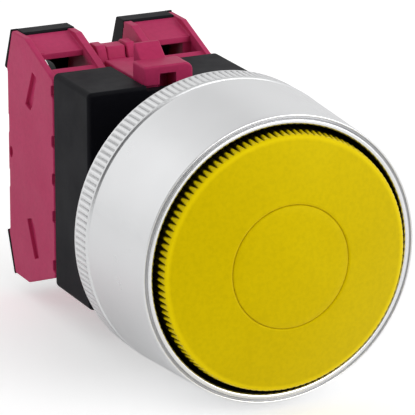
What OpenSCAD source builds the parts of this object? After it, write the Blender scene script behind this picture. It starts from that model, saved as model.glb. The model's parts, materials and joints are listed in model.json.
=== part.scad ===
// Mushroom-head push button for a control panel, 22 mm family.
// The button faces -Y, +X is to its right and +Z is up.
// The origin is on the button's axis, in the plane where the body's collar
// seats against the back of the panel.

/* [Button cap] */
// Outside diameter of the mushroom cap, over its teeth
cap_d = 40; // [38:0.5:40.5]
// Straight teeth around the rim of the cap
cap_teeth = 120; // [60:4:180]
// Depth of the cap's rim teeth
cap_tooth_h = 0.4; // [0.1:0.02:0.5]
// Radius of the domed face
dome_r = 95; // [70:5:160]
// Diameter of the snap-in centre disc
disc_d = 18.7; // [16:0.1:19]
// Distance from the panel seat to the front of the cap
cap_front = 33.8; // [33.2:0.1:34.4]

/* [Shroud ring] */
// Outside diameter of the rolled front lip
lip_d = 44.5; // [44:0.1:45.5]
// Outside diameter of the knurled band
knurl_d = 46.7; // [46.2:0.1:48]
// Straight teeth around the knurled band
knurl_teeth = 148; // [60:4:160]
// Width of the knurled band
knurl_w = 4.7; // [3.5:0.1:5.5]
// Wall of the barrel
ring_wall = 1.35; // [1:0.05:1.6]

/* [Operator] */
// Outside diameter of the threaded neck, for a 22.3 mm panel cut-out
neck_d = 22; // [22:0.1:22.2]
// Diameter of the round collar that seats behind the panel
collar_d = 28; // [26:0.5:28]
// Thickest panel that fits between the collar and the gasket
panel_max = 6; // [6:0.1:6.2]
// Width of the operator body
body_w = 28.6; // [28.4:0.1:29]
// Height of the operator body
body_h = 35.2; // [35:0.1:36]

/* [Contact blocks] */
// Width of one contact block
block_w = 9.9; // [9.8:0.05:10]
// Gap between the two contact blocks
block_gap = 8.6; // [8.6:0.1:8.8]
// Half height of a block at its tallest ridge
block_hz = 20.4; // [20.2:0.1:20.8]

/* [Hidden] */
$fn = 96;

yellow = [0.80, 0.71, 0.02];
silver = [0.82, 0.83, 0.85];
black = [0.13, 0.14, 0.145];
magenta = [0.66, 0.19, 0.33];
brass = [0.78, 0.62, 0.30];
steel = [0.62, 0.63, 0.65];
cream = [0.9, 0.88, 0.82];

// Shared sizes; a pair [front, back] holds two stations along Y
neck_r = neck_d / 2;
bore_r = 8.5;
bore_floor = -3;
stem_r = 5;
spigot_r = 4; // end of the plunger, in the pusher plate
pusher_y = [9.2, 11.4];
rear_plate_y = [18.8, 20.8];
block_x = (block_gap + block_w) / 2;
knurl_back = -(panel_max + 1);
knurl_front = knurl_back - knurl_w;
pin_y = 29.6;
pin_z = 16.3;

// ---------------------------------------------------------------- shape helpers
function arc(centre_x, centre_y, r, start, end, steps) =
  [for (i = [0:steps]) let (a = start + (end - start) * i / steps)
    [centre_x + r * cos(a), centre_y + r * sin(a)]];

// A profile of [radius, y] points turned about the Y axis
module turned(profile) { rotate([-90, 0, 0]) rotate_extrude() polygon(profile); }
// An outline of [x, -z] points, drawn out along Y
module y_prism(y0, length, outline) {
  translate([0, y0, 0]) rotate([-90, 0, 0]) linear_extrude(height = length) polygon(outline);
}
// An outline of [y, z] points, drawn out along X
module x_prism(x0, x1, outline) {
  translate([x0, 0, 0]) rotate([90, 0, 90]) linear_extrude(height = x1 - x0) polygon(outline);
}
module y_bar(r, y0, y1, x = 0, z = 0) {
  translate([x, y0, z]) rotate([-90, 0, 0]) cylinder(r = r, h = y1 - y0);
}
module x_bar(r, x0, x1, y, z) {
  translate([x0, y, z]) rotate([0, 90, 0]) cylinder(r = r, h = x1 - x0);
}
// A hexagonal bar along Y, for key sockets
module y_hex(r, y0, y1) {
  translate([0, y0, 0]) rotate([-90, 0, 0]) cylinder(r = r, h = y1 - y0, $fn = 6);
}
// A box between two corners
module box(a, b) { translate(a) cube(b - a); }
// A band of straight teeth about the Y axis
module toothed(count, root, tip, y0, y1) {
  y_prism(y0, y1 - y0, [for (i = [0:count - 1]) each [
    let (a = 360 * i / count) [root * cos(a), root * sin(a)],
    let (a = 360 * (i + 0.5) / count) [tip * cos(a), tip * sin(a)]]]);
}
// A cross recess for a screw head
module cross_slot(half_length, half_width, y0, y1) {
  box([-half_length, y0, -half_width], [half_length, y1, half_width]);
  box([-half_width, y0, -half_length], [half_width, y1, half_length]);
}
// The children, and the same turned half way round the Y axis
module half_turn_pair() { for (a = [0, 180]) rotate([0, a, 0]) children(); }

// A round-wire compression spring along Y, with closed end turns
module coil(coil_r, wire_r, y0, y1, turns, steps = 20, sides = 8) {
  count = ceil(turns * steps);
  rise = y1 - y0 - 2 * wire_r;
  closed = 0.75 / turns; // share of the wire in each closed end
  pitch = 2.05 * wire_r / rise; // closed pitch, as a share of the rise
  function lift(t) =
    t < closed ? pitch * t / closed * 0.75 :
    t > 1 - closed ? 1 - pitch * (1 - t) / closed * 0.75 :
    pitch * 0.75 + (t - closed) / (1 - 2 * closed) * (1 - 1.5 * pitch);
  points = [for (i = [0:count])
    let (t = i / count, a = 360 * turns * t, y = y0 + wire_r + rise * lift(t))
    for (j = [0:sides - 1]) let (b = 360 * j / sides, r = coil_r + wire_r * cos(b))
      [r * cos(a), y + wire_r * sin(b), r * sin(a)]];
  faces = concat(
    [[for (j = [0:sides - 1]) j]],
    [for (i = [0:count - 1]) for (j = [0:sides - 1]) let (k = (j + 1) % sides)
      each [[i * sides + j, (i + 1) * sides + j, (i + 1) * sides + k],
            [i * sides + j, (i + 1) * sides + k, i * sides + k]]],
    [[for (j = [0:sides - 1]) count * sides + sides - 1 - j]]);
  polyhedron(points = points, faces = faces, convexity = 6);
}

// ---------------------------------------------------------------- button
// Height of the domed face at a distance from the axis
function dome_y(r) = -cap_front + dome_r - sqrt(dome_r * dome_r - r * r);

cap_r = cap_d / 2;
root_r = cap_r - cap_tooth_h;
disc_r = disc_d / 2;
pocket_r = disc_r + 0.15;
pocket_floor = -31.9;
dome_edge_r = root_r - 1.1;
dome_edge_y = dome_y(dome_edge_r);
rim_round = 1.15;
cap_seat = -24; // back of the cap's hub, on the front of the plunger
screw_seat = -29.4;
head_r = bore_r - 0.07;
head_back = -15;
oring_groove = [-20, -17.9];
clip_groove = [1.02, 1.8];
clip_groove_r = 4.2;

module button_cap() {
  color(yellow) difference() {
    union() {
      turned(concat(
        [[2.2, cap_seat], [2.2, screw_seat], [4.2, screw_seat], [4.2, pocket_floor],
         [pocket_r, pocket_floor], [pocket_r, dome_y(pocket_r)]],
        [for (i = [1:14]) let (r = pocket_r + (dome_edge_r - pocket_r) * i / 14) [r, dome_y(r)]],
        arc(root_r - rim_round, dome_edge_y + rim_round, rim_round, -80, 0, 6),
        [[root_r, -25.6], [18.5, -25.6], [18.2, -29.5], [6.6, -30.1], [6.5, cap_seat]]));
      // rim teeth, bevelled at both ends
      intersection() {
        toothed(cap_teeth, root_r - 0.05, cap_r, dome_edge_y + 0.55, -25.9);
        turned([[17, -25], [17, -33], [root_r - 0.2, -33], [cap_r + 0.1, dome_edge_y + 1.1],
          [cap_r + 0.1, -25.9], [cap_r - 0.3, -25.5]]);
      }
    }
    // shallow radial grooves in the back of the face
    for (a = [0:60:300]) rotate([0, a, 0]) box([7.6, -30.3, -0.6], [17.6, -30.05, 0.6]);
  }
}
module cap_center_disc() {
  color(yellow) turned(concat([[0, pocket_floor], [0, -cap_front]],
    [for (i = [1:8]) let (r = (disc_r - 0.25) * i / 8) [r, dome_y(r)]],
    [[disc_r, dome_y(disc_r) + 0.25], [disc_r, pocket_floor]]));
}
module cap_screw() {
  color(steel) difference() {
    turned([[0, -31.6], [2.9, -31.6], [3.5, -31.1], [3.5, screw_seat], [2, screw_seat],
      [2, -14.4], [1.6, -14], [0, -14]]);
    y_hex(1.45, -32, -30.1);
  }
}
module plunger() {
  color(black) difference() {
    turned([[0, cap_seat], [8.1, cap_seat], [head_r, -23.6],
      [head_r, oring_groove[0]], [6.9, oring_groove[0]],
      [6.9, oring_groove[1]], [head_r, oring_groove[1]],
      [head_r, head_back], [stem_r, head_back],
      [stem_r, clip_groove[0]], [clip_groove_r, clip_groove[0]],
      [clip_groove_r, clip_groove[1]], [stem_r, clip_groove[1]],
      [stem_r, pusher_y[0]], [spigot_r, pusher_y[0]], [spigot_r, pusher_y[1]],
      [0, pusher_y[1]]]);
    // holes for the cap screw and the pusher screw
    y_bar(2.03, cap_seat - 0.1, -13.6);
    y_bar(1.53, 4.6, pusher_y[1] + 0.1);
  }
}
module plunger_oring() {
  color(black) translate([0, (oring_groove[0] + oring_groove[1]) / 2, 0]) rotate([-90, 0, 0])
    rotate_extrude() translate([7.69, 0]) circle(r = 0.78, $fn = 32);
}
module return_spring() {
  color(steel) coil(6.75, 0.6, head_back + 0.03, bore_floor - 0.03, 5.25);
}
module plunger_clip() {
  inner_r = clip_groove_r + 0.03;
  front = clip_groove[0] + 0.04;
  back = clip_groove[1] - 0.04;
  color(steel) difference() {
    turned([[inner_r, front], [6.9, front], [6.9, back], [inner_r, back]]);
    // mouth, open at the top
    box([-2.1, 0.8, 0], [2.1, 2, 8]);
  }
}
module pusher_plate() {
  color(black) difference() {
    union() {
      box([-12.2, pusher_y[0], -3.6], [12.2, pusher_y[1], 3.6]);
      y_bar(6.2, pusher_y[0], pusher_y[1]);
    }
    y_bar(spigot_r + 0.03, pusher_y[0] - 0.2, pusher_y[1] + 0.2);
  }
}
module pusher_screw() {
  color(steel) difference() {
    turned([[0, 13], [2.5, 13], [4.7, 12.6], [4.7, pusher_y[1]], [1.5, pusher_y[1]],
      [1.5, 5.2], [1.1, 4.8], [0, 4.8]]);
    y_hex(1.2, 11.9, 13.2);
  }
}

// ---------------------------------------------------------------- shroud
washer_bore = neck_r + 0.2;

module shroud_ring() {
  lip_r = lip_d / 2;
  knurl_r = knurl_d / 2;
  rear_r = knurl_r - 0.1; // back end of the barrel's flare
  hub_front = knurl_back - 7.8;
  color(silver) union() {
    turned(concat(
      arc(lip_r - 0.65, -29.3, 0.65, 215, 360, 10),
      // outside, down to the back face
      [[rear_r, knurl_front - 0.5], [rear_r - 0.25, knurl_front - 0.35],
       [rear_r - 0.25, knurl_front], [knurl_r - 0.25, knurl_front + 0.1],
       [knurl_r - 0.25, knurl_back - 0.5], [knurl_r - 0.55, knurl_back],
       // washer recess and the bore over the neck
       [18.8, knurl_back], [18.8, knurl_back - 0.6], [neck_r + 0.45, knurl_back - 0.6],
       [neck_r + 0.05, knurl_back - 1], [neck_r + 0.05, hub_front + 0.4],
       [neck_r + 0.45, hub_front], [14.2, hub_front], [14.6, hub_front + 0.4],
       // floor and inside of the barrel
       [14.6, knurl_back - 3.2], [knurl_r - 2.2, knurl_back - 3.2],
       [knurl_r - 1.9, knurl_back - 4], [lip_r - ring_wall + 0.1, -28.6]]));
    // knurl, bevelled at both ends
    intersection() {
      toothed(knurl_teeth, knurl_r - 0.3, knurl_r, knurl_front + 0.1, knurl_back);
      turned([[20, knurl_front], [knurl_r - 0.25, knurl_front + 0.1],
        [knurl_r + 0.2, knurl_front + 0.5], [knurl_r + 0.2, knurl_back - 0.55],
        [knurl_r - 0.35, knurl_back], [20, knurl_back]]);
    }
  }
}
module thrust_washer() {
  front = knurl_back - 0.55;
  color(steel)
    turned([[washer_bore, front], [18.6, front], [18.6, knurl_back], [washer_bore, knurl_back]]);
}
module panel_gasket() {
  color(black) turned([[washer_bore, knurl_back], [20.5, knurl_back], [20.5, knurl_back + 0.55],
    [20.1, knurl_back + 0.6], [washer_bore, knurl_back + 0.6]]);
}

// ---------------------------------------------------------------- operator
plate_x = 13; // half width of the rear plate
plate_z = 11.6; // half height of the rear plate
leg_x = 2.7; // latch legs, either side of the axis

// Places the children at the four screws of the rear plate
module at_corners() { for (x = [-1, 1], z = [-1, 1]) translate([x * 10.7, 0, z * 9.3]) children(); }

// Latch channel with pockets for the latch's toes
module channel() {
  box([-4.35, 8.9, 14.4], [4.35, 21, 19]);
  for (s = [-1, 1]) box([s * leg_x - 1.55, 9.3, 12.6], [s * leg_x + 1.55, 13.05, 14.5]);
}
module operator_body() {
  half_x = body_w / 2;
  half_z = body_h / 2;
  collar_r = collar_d / 2;
  chamfer_x = half_x - 0.5;
  chamfer_z = half_z - 0.5;
  color(black) difference() {
    union() {
      // neck: thread stretch, undercut, then the plain stretch that fills the panel cut-out
      turned([[bore_r, -20.9], [neck_r - 0.55, -20.9], [neck_r - 0.05, -20.4],
        [neck_r - 0.05, -7.7], [neck_r - 0.45, -7.7], [neck_r - 0.45, -6.2], [neck_r, -6.2],
        [neck_r, 0], [collar_r - 0.3, 0], [collar_r, 0.3], [collar_r, 7.6], [9.4, 7.6],
        [9.4, 1], [stem_r + 0.06, 1], [stem_r + 0.06, bore_floor], [bore_r, bore_floor]]);
      // hollow rectangular body with chamfered corners
      difference() {
        intersection() {
          box([-half_x, 7.5, -half_z], [half_x, rear_plate_y[1], half_z]);
          y_prism(7.4, 14, [[-chamfer_x, -half_z], [chamfer_x, -half_z],
            [half_x, -chamfer_z], [half_x, chamfer_z], [chamfer_x, half_z],
            [-chamfer_x, half_z], [-half_x, chamfer_z], [-half_x, -chamfer_z]]);
        }
        y_bar(9.4, 7.4, 9);
        box([0.2 - plate_x, 8.8, 0.2 - plate_z], [plate_x - 0.2, 20.9, plate_z - 0.2]);
      }
      // screw posts in the corners of the body
      at_corners() y_bar(2.1, 8.7, 18.75);
    }
    half_turn_pair() channel();
    // recess that takes the rear plate
    box([-plate_x - 0.1, rear_plate_y[0] - 0.02, -plate_z - 0.1],
      [plate_x + 0.1, 21, plate_z + 0.1]);
    at_corners() y_bar(1.03, 12, 19);
    // key groove along the underside of the neck
    box([-1.6, -21.5, -12], [1.6, -0.02, -neck_r + 0.9]);
  }
}
module body_rear_plate() {
  color(black) difference() {
    box([-plate_x, rear_plate_y[0], -plate_z], [plate_x, rear_plate_y[1], plate_z]);
    // push rod holes and the centre hole
    for (s = [-1, 1]) y_bar(2.25, 18, 21.5, s * block_x);
    y_bar(3.4, 18, 21.5);
    at_corners() {
      y_bar(1.15, 18, 21.5);
      y_bar(2.05, 19.6, 21.5);
    }
  }
}
module rear_plate_screws() {
  color(steel) at_corners() difference() {
    turned([[0, 20.7], [1.7, 20.7], [1.95, 20.5], [1.95, 19.6], [1, 19.6], [1, 13],
      [0.7, 12.7], [0, 12.7]]);
    cross_slot(1.4, 0.25, 20.2, 21);
  }
}

// ---------------------------------------------------------------- latches and carrier
ear_x = 2.6; // carrier ears, either side of the latch knuckle

module latch_shape() {
  difference() {
    union() {
      // head bar across the channel, its outer right corner rounded
      intersection() {
        x_prism(-4, 4.3, [[9.1, 17.2], [9.1, 20], [9.3, 20.2], [13.4, 20.2], [13.5, 20.1],
          [13.5, 15.4], [9.8, 15.4], [9.8, 17.2]]);
        y_prism(8, 8, concat([[-4, -15], [-4, -20.1], [-3.9, -20.2]],
          arc(3, -18.9, 1.3, -90, 0, 6), [[4.3, -15]]));
      }
      // legs and their toes
      for (s = [-1, 1]) x_prism(s * leg_x - 1.3, s * leg_x + 1.3,
        [[9.8, 12.9], [12.4, 12.9], [12.9, 13.4], [12.9, 15.6], [9.8, 15.6]]);
      // pry tab
      x_prism(-2.75, 1.6, [[13.2, 20.2], [15.55, 22.2], [15.8, 22.35], [16.05, 22.2],
        [16.05, 15.6], [13.2, 15.6]]);
      // strap in the channel
      x_prism(-2.9, 2.9, [[13.2, 14.9], [26.4, 14.9], [26.9, 15.4], [26.9, 16.4],
        [26.4, 16.9], [13.2, 16.9]]);
      // knuckle and post
      x_prism(-1.6, 1.6, [[26, 14.9], [31.6, 14.9], [32.1, 15.4], [32.1, 16.4], [31.4, 18.4],
        [29.0, 18.4], [28.6, 18.2], [28.4, 16.9], [26, 16.9]]);
    }
    // slot between the legs
    x_prism(-1.4, 1.4, [[9, 12], [9, 18.9], [10.6, 18.9], [10.6, 12]]);
    box([-1.4, 9, 12], [1.4, 13.6, 14.9]);
    x_bar(0.85, -2, 2, pin_y, pin_z);
  }
}
module upper_latch() { color(magenta) latch_shape(); }
module lower_latch() { color(magenta) rotate([0, 180, 0]) latch_shape(); }
module latch_pins() { color(steel) half_turn_pair() x_bar(0.8, -3.3, 3.3, pin_y, pin_z); }
module carrier_half() {
  difference() {
    union() {
      x_prism(-4.1, 4.1, [[20.9, -0.1], [38.6, -0.1], [38.6, 12.6], [37.6, 13.6], [20.9, 13.6]]);
      // ears for the latch pin
      for (s = [-1, 1]) x_prism(s * ear_x - 0.8, s * ear_x + 0.8, [[27.4, 13.4], [27.4, 16.2],
        [28.4, 18.2], [29, 18.7], [31.4, 18.7], [32.6, 17.6], [33.4, 13.4]]);
    }
    for (s = [-1, 1]) x_bar(0.82, s * ear_x - 0.9, s * ear_x + 0.9, pin_y, pin_z);
  }
}
module block_carrier() {
  color(magenta) difference() {
    union() {
      half_turn_pair() carrier_half();
      // rails that hold the blocks
      box([-4.95, 24.1, -7.9], [4.95, 29.9, 7.9]);
    }
    // pocket from the rear
    box([-2.6, 24, -10], [2.6, 39, 10]);
  }
}

// ---------------------------------------------------------------- contact blocks
// A block is drawn about its own middle, with +X towards the carrier.
inner_x = block_w / 2; // side towards the carrier
outer_x = -inner_x;
block_wall = 0.75;
block_front = 21.3;
ridge_y = 32.2;
slope_rise = 4.1;
front_hz = block_hz - slope_rise; // half height at the front
lip_z = block_hz + 0.15; // top of the rear cover
terminal_z = 12.6;
contact_z = 7;
bridge_y = [24.9, 25.7];
cover_y = [37.1, 39.7];

// Height of the sloping wire-entry face, less a drop
function slope_z(y, drop) =
  front_hz + slope_rise * (y - block_front) / (ridge_y - block_front) - drop;

module mirror_z() {
  children();
  mirror([0, 0, 1]) children();
}

module block_housing() {
  difference() {
    x_prism(outer_x, inner_x, [[block_front, -front_hz], [ridge_y, -block_hz],
      [37.6, -block_hz], [40, -13.8], [39.7, -13.1], [39.7, 13.1], [40, 13.8],
      [37.6, block_hz], [ridge_y, block_hz], [block_front, front_hz]]);
    // room for the contacts
    box([outer_x + block_wall, 22.5, -9.3], [inner_x - block_wall, 41, 9.3]);
    mirror_z() {
      // terminal chamber
      x_prism(outer_x + block_wall, inner_x - block_wall, [[22.5, 10.1], [41, 10.1],
        [41, 19.4], [35, 19.4], [ridge_y, slope_z(ridge_y, 1.65)], [22.5, slope_z(22.5, 1.65)]]);
      // gap the fixed contact passes through
      box([-2.6, 22.45, 9], [2.6, 24.4, 10.4]);
      // recessed panel over the wire entry, and the sill in front of it
      x_prism(outer_x + 0.95, inner_x - 1.25, [[35.2, block_hz + 1], [35.2, block_hz - 0.2],
        [28.9, block_hz - 2], [25.6, block_hz - 3.2], [25.6, block_hz + 1]]);
      x_prism(outer_x + 0.95, inner_x - 1.25, [[25.7, block_hz - 2.2],
        [25.7, slope_z(25.7, 0.45)], [22.1, slope_z(22.1, 0.45)], [22.1, block_hz - 2.2]]);
      // wire entry
      x_prism(outer_x + 0.95, inner_x - 1.35, [[25.6, 14], [25.6, 20], [28.9, 20], [28.9, 14]]);
      // the top edge and the side wall towards the carrier stop short of the rear cover
      x_prism(outer_x + 0.9, inner_x + 1, [[34.95, 23], [34.95, 19.3], [41, 19.3], [41, 23]]);
      x_prism(inner_x - 0.8, inner_x + 1,
        [[42, 11.5], [36.6, 11.5], [36.15, 14.65], [34.8, 21], [42, 22]]);
      x_prism(outer_x + 0.9, inner_x + 1,
        [[37, 19.5], [40, 11.5], [42, 11.5], [42, 23], [37, 23]]);
      // slanted recess in the outer side wall
      x_prism(outer_x - 1, outer_x + 0.5,
        [[29.5, 15.6], [27.8, 14.9], [29.3, 10.4], [30.5, 9], [32.4, 9.6]]);
    }
    // notches along the outer front edge
    for (z = [-14.4, -6.2, 0, 6.2, 14.4]) x_prism(outer_x - 1, outer_x + 0.9,
      [[21.2, z + 1.1], [22.1, z + 0.8], [22.1, z - 0.8], [21.2, z - 1.1]]);
    // small round recess near the rear edge
    x_bar(0.75, outer_x - 1, outer_x + 0.6, 38.6, 0);
    // push rod hole
    y_bar(2.1, 20, 24);
    // middle of the rear edge opens for the cover
    box([outer_x + block_wall, 37.05, -12.1], [inner_x + 1, 42, 12.1]);
    // window that takes the carrier's rail
    box([inner_x - 0.85, 23.95, -8.05], [inner_x + 1, 30.05, 8.05]);
  }
}
module rear_cover() {
  plate = [[cover_y[0], -12], [cover_y[1], -12], [cover_y[1], 12], [cover_y[0], 12]];
  // back edge shared by the cap and the inner side
  back_edge = [[38.1, lip_z], [40.8, 13.8], [40.3, 13.2], [cover_y[1], 11.6]];
  difference() {
    union() {
      x_prism(outer_x + 0.8, inner_x - 0.7, plate);
      x_prism(inner_x - block_wall, inner_x, plate);
      mirror_z() {
        // cap over the end of the housing, its inner side, and the strip on the outer side
        x_prism(outer_x + 0.95, inner_x - 0.7, concat([[cover_y[0], 11.6], [36.9, 15.6],
          [35.6, 19.35], [35, 19.35], [35, lip_z]], back_edge));
        x_prism(inner_x - block_wall, inner_x,
          concat([[36.65, 11.6], [36.2, 14.65], [34.95, lip_z]], back_edge));
        x_prism(outer_x, outer_x + 1,
          [[37.75, block_hz - 0.1], [37.75, lip_z], [38.1, lip_z], [40.8, 13.8], [40.2, 13.6]]);
      }
    }
    // screwdriver access to the terminal screws
    for (s = [-1, 1]) y_bar(2.6, 33, 42, 0, s * terminal_z);
  }
}
module push_rod() {
  turned([[0, 11.45], [1.7, 11.45], [2, 11.75], [2, bridge_y[0]], [1, bridge_y[0]], [1, 29.9],
    [0.7, 30.3], [0, 30.3]]);
}
module contact_bridge() {
  difference() {
    union() {
      box([-2.2, bridge_y[0], -8.8], [2.2, bridge_y[1], 8.8]);
      for (s = [-1, 1]) y_bar(1.4, 24.33, 25, 0, s * contact_z);
    }
    y_bar(1.03, 23, 27);
  }
}
module contact_spring() {
  coil(2.05, 0.3, bridge_y[1] + 0.02, cover_y[0] - 0.03, 6.5, steps = 16, sides = 6);
}
module fixed_contacts() {
  mirror_z() difference() {
    union() {
      box([-2.5, 22.52, 5.4], [2.5, 23.7, 14.9]);
      box([-3.6, 22.52, 10.5], [3.6, 23.7, 14.9]);
      y_bar(1.4, 23.6, 24.3, 0, contact_z);
    }
    y_bar(1.48, 21, 26, 0, terminal_z);
  }
}
module clamp_washers() {
  mirror_z() translate([0, 0, terminal_z])
    turned([[1.55, 25.4], [2.45, 25.4], [2.45, 26.2], [1.55, 26.2]]);
}
module terminal_screws() {
  mirror_z() translate([0, 0, terminal_z]) difference() {
    turned([[0, 28.5], [2, 28.5], [2.3, 28.1], [2.3, 26.2], [1.45, 26.2], [1.45, 22.8],
      [1.2, 22.55], [0, 22.55]]);
    cross_slot(1.6, 0.3, 27.4, 29.5);
  }
}
module at_left() { translate([-block_x, 0, 0]) children(); }
module at_right() { translate([block_x, 0, 0]) rotate([0, 180, 0]) children(); }

module left_block_housing() { color(magenta) at_left() block_housing(); }
module left_rear_cover() { color(black) at_left() rear_cover(); }
module left_push_rod() { color(cream) at_left() push_rod(); }
module left_contact_bridge() { color(brass) at_left() contact_bridge(); }
module left_contact_spring() { color(steel) at_left() contact_spring(); }
module left_fixed_contacts() { color(brass) at_left() fixed_contacts(); }
module left_clamp_washers() { color(steel) at_left() clamp_washers(); }
module left_terminal_screws() { color(steel) at_left() terminal_screws(); }
module right_block_housing() { color(magenta) at_right() block_housing(); }
module right_rear_cover() { color(black) at_right() rear_cover(); }
module right_push_rod() { color(cream) at_right() push_rod(); }
module right_contact_bridge() { color(brass) at_right() contact_bridge(); }
module right_contact_spring() { color(steel) at_right() contact_spring(); }
module right_fixed_contacts() { color(brass) at_right() fixed_contacts(); }
module right_clamp_washers() { color(steel) at_right() clamp_washers(); }
module right_terminal_screws() { color(steel) at_right() terminal_screws(); }

button_cap();
cap_center_disc();
cap_screw();
plunger();
plunger_oring();
return_spring();
plunger_clip();
pusher_plate();
pusher_screw();
shroud_ring();
thrust_washer();
panel_gasket();
operator_body();
body_rear_plate();
rear_plate_screws();
block_carrier();
upper_latch();
lower_latch();
latch_pins();
left_block_housing();
left_rear_cover();
left_push_rod();
left_contact_bridge();
left_contact_spring();
left_fixed_contacts();
left_clamp_washers();
left_terminal_screws();
right_block_housing();
right_rear_cover();
right_push_rod();
right_contact_bridge();
right_contact_spring();
right_fixed_contacts();
right_clamp_washers();
right_terminal_screws();
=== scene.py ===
# A panel push button: a yellow toothed cap in a metal shroud ring, a threaded black operator
# body, two latch levers, and a carrier with two contact blocks at the rear.
# The button's axis is Y, with the cap at -Y and the contact blocks at +Y. X runs across the two
# blocks and Z is up. Shapes are given in millimetres and built in metres.
import json
import math

import bmesh
import bpy
import numpy as np
from mathutils import Matrix, Vector


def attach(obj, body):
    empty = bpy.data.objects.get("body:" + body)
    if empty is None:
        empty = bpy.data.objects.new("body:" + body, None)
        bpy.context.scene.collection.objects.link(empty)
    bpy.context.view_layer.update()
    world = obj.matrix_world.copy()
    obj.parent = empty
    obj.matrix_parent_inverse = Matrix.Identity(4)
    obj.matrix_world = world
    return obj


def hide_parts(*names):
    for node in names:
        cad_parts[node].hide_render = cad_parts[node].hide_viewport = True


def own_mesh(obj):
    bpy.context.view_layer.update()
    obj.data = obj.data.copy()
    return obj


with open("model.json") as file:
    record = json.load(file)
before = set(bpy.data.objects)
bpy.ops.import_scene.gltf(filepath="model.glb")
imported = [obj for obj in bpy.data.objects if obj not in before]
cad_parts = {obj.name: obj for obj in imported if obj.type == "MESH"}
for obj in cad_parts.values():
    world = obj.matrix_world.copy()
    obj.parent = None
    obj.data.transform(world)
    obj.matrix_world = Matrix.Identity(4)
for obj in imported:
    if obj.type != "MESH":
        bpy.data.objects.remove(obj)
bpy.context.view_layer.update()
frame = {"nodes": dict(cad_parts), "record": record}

MM = 0.001
TAU = 2 * math.pi
scene = bpy.context.scene
BODY_OF = {node: body for body, nodes in frame["record"]["behaviour"]["bodies"].items()
           for node in nodes}
MATERIALS = {}

# ------------------------------------------------------------------ driving sizes (mm)
CAP_R = 20.0             # outer radius of the cap, over its tooth tips
CAP_TEETH = 120
FRONT_Y = -33.8          # foremost point of the domed cap
DOME_R = 83.0
RIM_R, RIM_Y = 19.74, -31.16    # the toothed rim widens from here ...
TIP_Y = -29.60                  # ... to CAP_R here
POCKET_R = 9.5           # recess in the cap for the disc
POCKET_Y = -31.9
DISC_R = 9.47

KNURL_R = 23.34
KNURL_TEETH = 148

NECK_R = 11.0
NECK_THREAD_R = 10.95
BODY_X, BODY_Z = 14.3, 17.6     # half width and half height of the operator block
BODY_REAR = 20.8
PAST_REAR = 21.6                # where cutters end, clear of the rear face
CORNERS = [(x, z) for x in (-10.7, 10.7) for z in (-9.3, 9.3)]   # posts and plate screws

PIVOT_Y, PIVOT_Z = 29.6, 16.3   # latch pins

BLOCK_X = 9.25                  # middle of each contact block, left and right
BLOCK_HALF = 4.95               # half width of a block
BLOCK_TOP = 20.4                # half height of a block
BLOCK_FRONT = 21.3
BLOCK_FRONT_TOP = 16.3          # half height at the front face
SHOULDER_Y = 32.2               # where the sloping side reaches BLOCK_TOP


# ------------------------------------------------------------------ shader nodes
class Nodes:
    """Builds one shader tree. add() returns a node, the other methods an output socket."""

    def __init__(self, tree):
        self.tree = tree
        tree.nodes.clear()

    def feed(self, socket, value):
        """Links an output socket to an input, or sets the input's value."""
        if hasattr(value, "links"):
            self.tree.links.new(value, socket)
        elif socket.type == "RGBA":
            socket.default_value = (*value, 1.0)
        else:
            socket.default_value = value

    def add(self, kind, inputs=None, **properties):
        made = self.tree.nodes.new("ShaderNode" + kind)
        for key, value in properties.items():
            setattr(made, key, value)
        for key, value in (inputs or {}).items():
            if value is not None:
                self.feed(made.inputs[key], value)
        return made

    def coords(self, scale=(1, 1, 1)):
        place = self.add("TexCoord").outputs["Object"]
        return self.add("Mapping", {"Scale": scale, "Vector": place}).outputs["Vector"]

    def noise(self, vector, scale, detail=3.0, rough=0.55, distortion=0.0):
        return self.add("TexNoise", {"Scale": scale, "Detail": detail, "Roughness": rough,
                                     "Distortion": distortion, "Vector": vector}).outputs["Fac"]

    def ramp(self, value, *stops):
        """stops are (position, colour or grey level)."""
        made = self.add("ValToRGB")
        elements = made.color_ramp.elements
        while len(elements) < len(stops):
            elements.new(1.0)
        for element, (position, shade) in zip(elements, stops):
            element.position = position
            element.color = (*(shade if isinstance(shade, tuple) else (shade,) * 3), 1.0)
        self.feed(made.inputs["Fac"], value)
        return made.outputs["Color"]

    def remap(self, value, source, target=(0.0, 1.0)):
        return self.add("MapRange", {"From Min": source[0], "From Max": source[1],
                                     "To Min": target[0], "To Max": target[1],
                                     "Value": value}).outputs["Result"]

    def mix(self, factor, first, second, blend="MIX"):
        # 6 and 7 are the two colour inputs
        return self.add("Mix", {"Factor": factor, 6: first, 7: second},
                        data_type="RGBA", blend_type=blend).outputs[2]

    def math(self, operation, first, second=None):
        return self.add("Math", {0: first, 1: second}, operation=operation).outputs[0]

    def times(self, first, second):
        return self.math("MULTIPLY", first, second)

    def dot(self, first, second):
        return self.add("VectorMath", {0: first, 1: second},
                        operation="DOT_PRODUCT").outputs["Value"]

    def bump(self, height, strength, distance, normal=None):
        return self.add("Bump", {"Strength": strength, "Distance": distance,
                                 "Height": height, "Normal": normal}).outputs["Normal"]

    def rounded_normal(self, radius):
        return self.add("Bevel", {"Radius": radius}, samples=4).outputs["Normal"]

    def edge_mask(self, radius, gain=3.0):
        """Near 1 along sharp edges, 0 on flats."""
        rounded = self.rounded_normal(radius)
        flat = self.add("NewGeometry").outputs["Normal"]
        turn = self.math("SUBTRACT", 1.0, self.dot(rounded, flat))
        return self.add("Clamp", {"Value": self.times(turn, gain)}).outputs["Result"]

    def axis_coords(self):
        """Distance from the button's axis and place along it, in mm."""
        place = self.add("TexCoord").outputs["Object"]
        split = self.add("SeparateXYZ", {0: place})
        x, y, z = [self.times(split.outputs[k], 1000.0) for k in range(3)]
        squares = self.math("ADD", self.times(x, x), self.times(z, z))
        return self.math("SQRT", squares), y


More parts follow.
